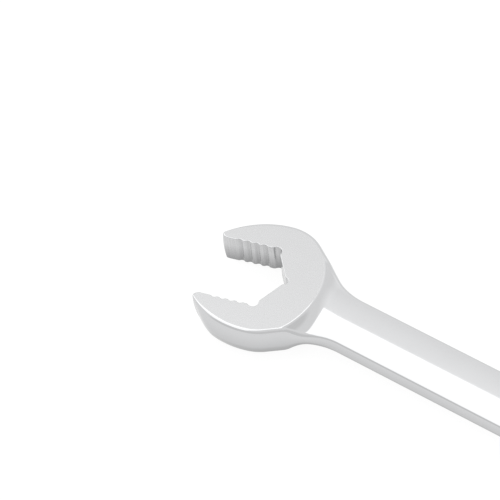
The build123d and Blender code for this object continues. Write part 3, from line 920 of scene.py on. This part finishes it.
def face_points():
    """The chains and the scattered points of the forging's two faces, each with its least gap."""
    chains = [(cove_loop(FACE_EDGE_R * share), 0.07) for share in EDGE_LOOPS]
    chains += [(cove_loop(distance), 0.12) for distance in COVE_LOOPS]
    chains += [(cove_loop(FACE_LOOP), 0.1)]
    for share in STEP_LOOPS:
        loop = arc((0, 0), STEP_R + STEP_RUN * share, -STEP_HALF_ANGLE, STEP_HALF_ANGLE, 0.4)
        chains.append((loop, 0.1))
    scatter = [
        (inner_loop(0.15), 0.08),
        (inner_loop(0.45), 0.2),
        (grid_points((HEAD_START_X, -22), (NUT[0] + 16, 26), 0.7, 0.6), 0.35),
        (grid_points((SHANK_START_X, -9), (HEAD_START_X, 11), 1.1, 0.55), 0.35),
        (grid_points((-RING_R, -RING_R), (SHANK_START_X, RING_R), 0.8, 0.7), 0.4),
    ]
    return chains, scatter


def opening(radius, face, rim, way):
    """Where a bore's cutter comes through a face: from the axis round the bevelled rim."""
    outside = face + way * CUTTER_OVER
    return [(0, outside), (radius + rim, outside), (radius + rim, face + way * RIM_OVER),
            (radius, face - way * rim)]


def cavity_cutter():
    """The pawl's cavity, open towards the gear's pocket."""
    corner = CAVITY_CORNER_R
    end_x = CAVITY_END_X - corner
    cavity = np.concatenate([
        arc((end_x, CAVITY_HALF - corner), corner, 0, pi / 2, CAVITY_STEP),
        [(end_x, CAVITY_HALF), (CAVITY_START_X, CAVITY_HALF), (CAVITY_START_X, -CAVITY_HALF)],
        arc((end_x, corner - CAVITY_HALF), corner, -pi / 2, 0, CAVITY_STEP),
        [(CAVITY_END_X, corner - CAVITY_HALF)],
    ])
    count = len(cavity)
    walls = [(i, (i + 1) % count, count + (i + 1) % count, count + i) for i in range(count)]
    caps = [tuple(range(count))[::-1], tuple(range(count, 2 * count))]
    levels = [np.column_stack([cavity, np.full(count, z)]) for z in (CAVITY_BOTTOM, CAVITY_TOP)]
    return make_object("cavity_cutter", np.concatenate(levels), walls + caps)


def cut_forging(piece):
    """Cuts the gear's pocket, the pawl's cavity, the lever's stem hole and the pin's hole."""
    snap_groove_top = SNAP_GROOVE_BOTTOM + SNAP_GROOVE_T
    clip_seat = -RING_HALF + CLIP_SEAT_DEPTH
    pocket = opening(POCKET_R, -RING_HALF, POCKET_RIM, -1) + [
        (POCKET_R, SNAP_GROOVE_BOTTOM), (SNAP_GROOVE_R, SNAP_GROOVE_BOTTOM),
        (SNAP_GROOVE_R, snap_groove_top), (POCKET_R, snap_groove_top),
        (POCKET_R, GEAR_SEAT_Z), (LIP_R, GEAR_SEAT_Z),
    ] + opening(LIP_R, RING_HALF, POCKET_RIM, 1)[::-1]
    stem = opening(CLIP_SEAT_R, -RING_HALF, STEM_RIM, -1)
    stem += [(CLIP_SEAT_R, clip_seat), (STEM_HOLE_R, clip_seat)]
    stem += opening(STEM_HOLE_R, NECK_TOP, STEM_RIM, 1)[::-1]
    pin = opening(PIN_R, -RING_HALF, PIN_RIM, -1) + [(PIN_R, PIN_TOP), (0, PIN_TOP)]
    for tool in (lathe("pocket_cutter", pocket), cavity_cutter(),
                 lathe("stem_cutter", stem, (LEVER_X, 0), segments=96),
                 lathe("pin_cutter", pin, (PIN_X, 0), segments=48)):
        combine(piece, tool, "DIFFERENCE")


def finish_forging(piece):
    """Satin ground flats and streaked cut walls in the mouth, on bright chrome."""
    coat(piece, chrome, satin, jaw_chrome)
    for face in piece.data.polygons:
        x, y, z = (value / MM for value in face.center)
        on_head = x > NUT[0] - HEAD_REACH and abs(z) > HEAD_HALF - HEAD_SKIN
        on_ring = x < LOWER_SLOPE_X and abs(z) > RING_HALF - RING_SKIN
        from_nut = hypot(x - NUT[0], y - NUT[1])
        if abs(face.normal.z) > FLAT_NORMAL and (on_head or on_ring):
            face.material_index = 1
        elif abs(face.normal.z) < WALL_NORMAL and from_nut < JAW_WALL_REACH:
            face.material_index = 2


def build_forging():
    outline = forging_outline()
    edges, feet, bulges = outline[:, 2:5].T
    verts, faces = slab(outline[:, :2], edges, feet, bulges, top_height, bottom_height,
                        *face_points(), sweep=outline[:, 5:])
    piece = make_object("forging", verts, faces)
    cut_forging(piece)
    finish_forging(piece)
    shade(piece)
    keep_flats(piece.data)
    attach(piece, "wrench")
    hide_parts("wrench_body")


build_forging()


# ================= the ratchet gear =================

TEETH = 72
TOOTH_TIP_R = 13.95
TOOTH_ROOT_R = 13.35
TOOTH_LAND = 0.12
TOOTH_PLACES = (0.2, 0.35, 0.5, 0.65, 0.8)  # points round a tooth, in shares of the pitch
TOOTH_BEVEL = 0.12
GEAR_TOP = 4.15
GEAR_BOTTOM = -4.1
HUB_R = 12.5
HUB_BEVEL = 0.25
BORE_FILLET = 0.5
BORE_CHAMFER = 0.9


def bore_radius(angles):
    """Distance to the twelve-point bore, with its outward corners rounded."""
    sixth = pi / 3
    reach = np.zeros(len(angles))
    for turn in (0, sixth / 2):
        off = (angles - turn + sixth / 2) % sixth - sixth / 2
        reach = np.maximum(reach, JAW_HALF / np.cos(off))
    corner_off = (angles + sixth / 4) % (sixth / 2) - sixth / 4
    centre = JAW_HALF / cos(sixth / 2) - BORE_FILLET * (1 / cos(sixth / 2) - 1) - BORE_FILLET
    across = centre * np.sin(corner_off)
    rounded_reach = centre * np.cos(corner_off) + np.sqrt(np.maximum(BORE_FILLET**2 - across**2, 0))
    in_corner = np.abs(across) < BORE_FILLET * sin(sixth / 2)
    return np.where(in_corner, np.minimum(reach, rounded_reach), reach)


def build_gear():
    pitch = 2 * pi / TEETH
    land = TOOTH_LAND / TOOTH_TIP_R / pitch / 2
    places = np.array([0, land, *TOOTH_PLACES, 1 - land])
    angles = (np.arange(TEETH)[:, None] + places[None, :]).ravel() * pitch
    from_tooth = np.tile(np.minimum(places, 1 - places), TEETH)
    fall = np.clip((from_tooth - land) / (0.5 - land), 0, 1)
    tooth = blend(TOOTH_TIP_R, TOOTH_ROOT_R, fall)
    bore = bore_radius(angles)
    point_r = JAW_HALF / cos(pi / 6)
    ledge_r = np.maximum(bore, point_r - BORE_CHAMFER)
    ledge_z = HUB_HALF - point_r + ledge_r
    flat = np.ones(len(angles))
    rows = []
    for side, tooth_z in ((1, GEAR_TOP), (-1, GEAR_BOTTOM)):
        half = [
            (bore, side * ledge_z),
            (ledge_r, side * ledge_z),
            (point_r * flat, side * HUB_HALF * flat),
            ((HUB_R - HUB_BEVEL) * flat, side * HUB_HALF * flat),
            (HUB_R * flat, side * (HUB_HALF - HUB_BEVEL) * flat),
            (HUB_R * flat, tooth_z * flat),
            (tooth - TOOTH_BEVEL, tooth_z * flat),
            (tooth, (tooth_z - side * TOOTH_BEVEL) * flat),
        ]
        rows += half if side == 1 else half[::-1]
    verts = [np.column_stack([r * np.cos(angles), r * np.sin(angles), z]) for r, z in rows]
    faces = ring_faces(len(rows), len(angles), closed=True)
    piece = make_object("gear", np.concatenate(verts), faces)
    coat(piece, gear_steel)
    shade(piece, sharp=20)
    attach(piece, "gear")
    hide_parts("ratchet_gear")


build_gear()


# ================= the selector lever =================

LEVER_SWING = radians(18)
LEVER_DISC_R = 4.6
LEVER_TAB_X = 8.2
LEVER_TAB_R = 2.3
LEVER_EDGE = 0.45
LEVER_BOTTOM = 4.05
LEVER_TOP = lever_high[2]
GRIPS = 4
GRIP_PITCH = 1.3
GRIP_START = LEVER_TAB_X - 2.2
GRIP_HALF = 0.25
GRIP_RAMP = 0.12
GRIP_DEPTH = 0.35
GRIP_REACH = 1.5
STEM_R = 2.8
STEM_BOTTOM = lever_low[2]
STEM_BEVEL = 0.15
GROOVE_FLOOR_R = 2.2
SEAL_GROOVE = (2.475, 3.225)
CLIP_GROOVE = (-5.2, -4.7)
DETENT_Z = -0.7
DETENT_BORE_R = 1.15
DETENT_BORE_END = 1.6


def lever_top(x, y):
    """The lever's upper face, with the grip grooves across its tab."""
    depth = np.zeros(len(x))
    for index in range(GRIPS):
        off = np.abs(x - GRIP_START - index * GRIP_PITCH)
        depth = np.maximum(depth, smooth((GRIP_HALF + GRIP_RAMP - off) / GRIP_RAMP))
    depth = depth * smooth((GRIP_REACH - np.abs(y)) / GRIP_RAMP)
    return LEVER_TOP - GRIP_DEPTH * depth
def seat_in_lever(piece, height):
    """Takes a piece from the lever's own axes to where the lever is at rest."""
    turn = Matrix.Rotation(-LEVER_SWING, 4, "Z")
    piece.data.transform(Matrix.Translation((LEVER_X * MM, 0, height * MM)) @ turn)


def build_lever():
    spread = acos((LEVER_DISC_R - LEVER_TAB_R) / LEVER_TAB_X)
    tab = (LEVER_TAB_X, 0)
    shape = np.concatenate([
        arc((0, 0), LEVER_DISC_R, spread, 2 * pi - spread, 0.2),
        line(LEVER_DISC_R * unit(-spread), tab + LEVER_TAB_R * unit(-spread), 0.3),
        arc(tab, LEVER_TAB_R, -spread, spread, 0.12),
        line(tab + LEVER_TAB_R * unit(spread), LEVER_DISC_R * unit(spread), 0.3),
    ])
    tab_end = (LEVER_TAB_X + LEVER_TAB_R, LEVER_TAB_R)
    tab_grid = grid_points((GRIP_START - 1, -LEVER_TAB_R), tab_end, 0.1, 0.1)
    disc_grid = grid_points((-LEVER_DISC_R, -LEVER_DISC_R), (GRIP_START, LEVER_DISC_R), 0.6, 0.5)
    piece = plate("lever", shape, LEVER_EDGE, lever_top, even(-LEVER_BOTTOM),
                  [(tab_grid, 0.07), (disc_grid, 0.2)], arc_rows=6, wall_rows=3)
    bevel_r, bevel_z = STEM_R - STEM_BEVEL, STEM_BOTTOM + STEM_BEVEL
    profile = [(0, STEM_BOTTOM), (bevel_r, STEM_BOTTOM), (STEM_R, bevel_z)]
    for low, high in (CLIP_GROOVE, SEAL_GROOVE):
        profile += [(STEM_R, low), (GROOVE_FLOOR_R, low), (GROOVE_FLOOR_R, high), (STEM_R, high)]
    inside_top = (LEVER_BOTTOM + LEVER_TOP) / 2
    stem = lathe("stem", profile + [(STEM_R, inside_top), (0, inside_top)], segments=128)
    combine(piece, stem, "UNION")
    bore = lathe("detent_cutter", [(0, -DETENT_BORE_END), (DETENT_BORE_R, -DETENT_BORE_END),
                                   (DETENT_BORE_R, 2 * STEM_R), (0, 2 * STEM_R)], segments=64)
    level = Matrix.Rotation(-pi / 2, 4, "Y")
    bore.data.transform(Matrix.Translation((0, 0, DETENT_Z * MM)) @ level)
    combine(piece, bore, "DIFFERENCE")
    seat_in_lever(piece, 0)
    coat(piece, lever_chrome)
    shade(piece, sharp=30)
    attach(piece, "lever")
    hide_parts("selector_lever")


build_lever()


# ================= the detent spring =================

SPRING_COIL_R = 0.85
SPRING_WIRE_R = 0.16
SPRING_TURNS = 5
SPRING_GAP = 0.03  # between the spring's end and the ball
SPRING_STEPS = 36  # per turn
SPRING_SIDES = 12


def build_detent_spring():
    """A coil from the end of the lever's cross bore to the ball, which presses it shorter."""
    ball_low, ball_high = box_mm("detent_ball")
    ball_r = (ball_high[2] - ball_low[2]) / 2
    ball_reach = np.linalg.norm((ball_low + ball_high)[:2] / 2 - (LEVER_X, 0))
    touch = sqrt((ball_r + SPRING_WIRE_R) ** 2 - SPRING_COIL_R**2)
    length = DETENT_BORE_END + ball_reach - touch - SPRING_GAP
    stations = np.linspace(0, 1, SPRING_TURNS * SPRING_STEPS + 1)
    turned = 2 * pi * SPRING_TURNS * stations
    round_wire = 2 * pi * np.arange(SPRING_SIDES) / SPRING_SIDES
    along = DETENT_BORE_END - SPRING_WIRE_R - (length - 2 * SPRING_WIRE_R) * stations
    out = SPRING_COIL_R + SPRING_WIRE_R * np.cos(round_wire)[None, :]
    x = along[:, None] + SPRING_WIRE_R * np.sin(round_wire)[None, :]
    verts = np.stack([x, out * np.cos(turned)[:, None], out * np.sin(turned)[:, None]], 2)
    faces = ring_faces(len(stations), SPRING_SIDES)
    last = (len(stations) - 1) * SPRING_SIDES
    faces.append(tuple(range(SPRING_SIDES)))
    faces.append(tuple(range(last, last + SPRING_SIDES))[::-1])
    piece = make_object("coil", verts.reshape(-1, 3), faces)
    seat_in_lever(piece, DETENT_Z)
    coat(piece, spring_steel)
    shade(piece)
    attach(piece, "lever")
    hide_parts("detent_spring")
    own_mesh(piece)


build_detent_spring()


# ================= the snap ring =================

SNAP_BOTTOM = ring_low[2]
SNAP_TOP = ring_high[2]
SNAP_OUTER_R = 14.95
SNAP_INNER_R = 13.6
SNAP_EDGE = 0.08
SNAP_GAP_HALF = 1.9
EAR_ANGLE = radians(166)
EAR_INNER_R = 12.9
EAR_HALF = 1.42
EAR_HOLE_R = 0.4
EAR_HOLE_AT = 13.55
EAR_CORNER_R = 0.3
EAR_STEP = 0.12
SNAP_STEP = 0.4
CUT_PAST = 1.0  # how far the ear holes' cutters stand out


def build_snap_ring():
    out, along = unit(EAR_ANGLE), unit(EAR_ANGLE + pi / 2)
    gap_at = (EAR_INNER_R * out[1] - SNAP_GAP_HALF) / -along[1]
    ear = [
        (-sqrt(SNAP_OUTER_R**2 - SNAP_GAP_HALF**2), SNAP_GAP_HALF),
        EAR_INNER_R * out + gap_at * along,
        EAR_INNER_R * out - EAR_HALF * along,
        sqrt(SNAP_INNER_R**2 - EAR_HALF**2) * out - EAR_HALF * along,
    ]
    upper = rounded(ear, EAR_CORNER_R, EAR_STEP)
    lower = np.concatenate([upper, [ear[-1]]])[::-1] * (1, -1)
    gap = pi - asin(SNAP_GAP_HALF / SNAP_OUTER_R)
    inner = EAR_ANGLE - asin(EAR_HALF / SNAP_INNER_R)
    shape = np.concatenate([
        arc((0, 0), SNAP_OUTER_R, -gap, gap, SNAP_STEP),
        upper,
        arc((0, 0), SNAP_INNER_R, inner, -inner, SNAP_STEP),
        lower[:-1],
    ])
    grid = grid_points((-SNAP_OUTER_R, -SNAP_OUTER_R), (SNAP_OUTER_R, SNAP_OUTER_R), 0.9, 0.8)
    piece = plate("snap_ring", shape, SNAP_EDGE, even(SNAP_TOP), even(-SNAP_BOTTOM),
                  [(grid, 0.3)], arc_rows=3, wall_rows=2)
    low, high = SNAP_BOTTOM - CUT_PAST, SNAP_TOP + CUT_PAST
    for side in (-1, 1):
        hole = lathe("ear_cutter", [(0, low), (EAR_HOLE_R, low), (EAR_HOLE_R, high), (0, high)],
                     EAR_HOLE_AT * out * (1, side), segments=40)
        combine(piece, hole, "DIFFERENCE")
    coat(piece, spring_steel)
    shade(piece, sharp=30)
    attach(piece, "wrench")
    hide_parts("gear_snap_ring")


build_snap_ring()


# ================= finishes of the CAD nodes that stay =================

def finish_node(node, material):
    """Gives a CAD node its material."""
    piece = frame["nodes"][node]
    coat(piece, material)


finish_node("pawl", gear_steel)
finish_node("pawl_pin", pin_steel)
finish_node("lever_seal", seal_rubber)
finish_node("lever_clip", spring_steel)
finish_node("detent_ball", pin_steel)


# ================= floor, light and camera =================

FLOOR_REACH = 6000.0
FLOOR_GLOW = 0.90
FLOOR_DIFFUSE = 0.14

WORLD_LEVEL = 1.03
NEAR_WAY = (-0.66, 0.75, 0.0)  # from the wrench to the side that the near jaw faces
FAR_SIDE = (-0.55, -0.2)  # how far along that way the far side ends
NEAR_SIDE = (0.05, 0.25)  # and the near side starts
FAR_LOW = 0.0  # what the far side adds low down, and higher up
FAR_HIGH = 0.22
FAR_HEIGHTS = (0.45, 0.78)
NEAR_GAIN = -0.16  # what the near side adds
NEAR_HEIGHTS = (0.68, 0.85) # where that fades out upwards

KEY_RADIANCE = 0.58
KEY_HEIGHT = 3.0  # in metres
KEY_LEFT = 0.10  # the light's edges, as slopes seen from the head
KEY_FAR = -0.60
KEY_SPAN = 1.3

CAMERA_OFFSET = Vector((-0.3259, 0.3696, 0.58743))  # from the jaws' centre
CAMERA_HEADING = radians(-48.8)
CAMERA_ELEVATION = radians(49.4)
CAMERA_ROLL = radians(6.7)
SENSOR_WIDTH = 36
FOCAL_LENGTH = 216


def build_floor():
    """A plain white floor, lit from within so that shadows on it stay faint."""
    far, z = FLOOR_REACH, -RING_HALF
    corners = [(-far, -far, z), (far, -far, z), (far, far, z), (-far, far, z)]
    floor = make_object("floor", corners, [(0, 1, 2, 3)])
    material, tree, shader, _ = node_material("floor_white")
    feed(tree, shader, {
        "Base Color": (FLOOR_DIFFUSE, FLOOR_DIFFUSE, FLOOR_DIFFUSE, 1), "Roughness": 1.0,
        "Specular IOR Level": 0.0, "Emission Color": (1, 1, 1, 1), "Emission Strength": FLOOR_GLOW,
    })
    coat(floor, material)


def build_world():
    """An even grey surround, brighter high on the far side and darker low on the near side."""
    world = bpy.data.worlds.new("studio")
    world.use_nodes = True
    bpy.context.scene.world = world
    tree = world.node_tree
    tree.nodes.clear()
    output = tree.nodes.new("ShaderNodeOutputWorld")
    background = tree.nodes.new("ShaderNodeBackground")
    tree.links.new(background.outputs[0], output.inputs["Surface"])
    way = tree.nodes.new("ShaderNodeTexCoord").outputs["Generated"]
    toward = reach_along(tree, way, NEAR_WAY)
    height = component(tree, way, "Z")
    far_lobe = ranged(tree, toward, 1.0, 0.0, *FAR_SIDE)
    far_gain = ranged(tree, height, FAR_LOW, FAR_HIGH, *FAR_HEIGHTS)
    near_lobe = ranged(tree, toward, 0.0, 1.0, *NEAR_SIDE)
    below_top = ranged(tree, height, 1.0, 0.0, *NEAR_HEIGHTS)
    near = computed(tree, "MULTIPLY", computed(tree, "MULTIPLY", near_lobe, below_top), NEAR_GAIN)
    level = computed(tree, "ADD", computed(tree, "MULTIPLY", far_lobe, far_gain), near)
    level = computed(tree, "ADD", level, WORLD_LEVEL)
    feed(tree, background, {"Color": (1, 1, 1, 1), "Strength": level})


def build_light():
    """One large square softbox of even radiance, over the shank's side of the head."""
    size = KEY_SPAN * KEY_HEIGHT
    light = bpy.data.lights.new("key_softbox", "AREA")
    light.shape = "RECTANGLE"
    light.size, light.size_y = size, size
    light.energy = KEY_RADIANCE * pi * size * size
    lamp = bpy.data.objects.new("key_softbox", light)
    x, y = NUT * MM
    x, y = x + KEY_LEFT * KEY_HEIGHT + size / 2, y + KEY_FAR * KEY_HEIGHT + size / 2
    lamp.location = (x, y, KEY_HEIGHT)
    lamp.rotation_mode = "QUATERNION"
    lamp.rotation_quaternion = Vector((0, 0, -KEY_HEIGHT)).to_track_quat("-Z", "Y")
    bpy.context.scene.collection.objects.link(lamp)


def build_camera():
    data = bpy.data.cameras.new("camera")
    data.sensor_width = SENSOR_WIDTH
    data.lens = FOCAL_LENGTH
    camera = bpy.data.objects.new("camera", data)
    away = Vector((cos(CAMERA_HEADING), sin(CAMERA_HEADING), 0))
    right = away.cross(Vector((0, 0, 1)))
    forward = away * cos(CAMERA_ELEVATION) - Vector((0, 0, sin(CAMERA_ELEVATION)))
    up = right.cross(forward)
    across = right * cos(CAMERA_ROLL) - up * sin(CAMERA_ROLL)
    upright = right * sin(CAMERA_ROLL) + up * cos(CAMERA_ROLL)
    turn = Matrix((across, upright, -forward)).transposed().to_4x4()
    camera.matrix_world = Matrix.Translation(Vector((*NUT * MM, 0)) + CAMERA_OFFSET) @ turn
    bpy.context.scene.collection.objects.link(camera)
    bpy.context.scene.camera = camera


build_floor()
build_world()
build_light()
build_camera()
bpy.context.scene.view_settings.view_transform = "Standard"
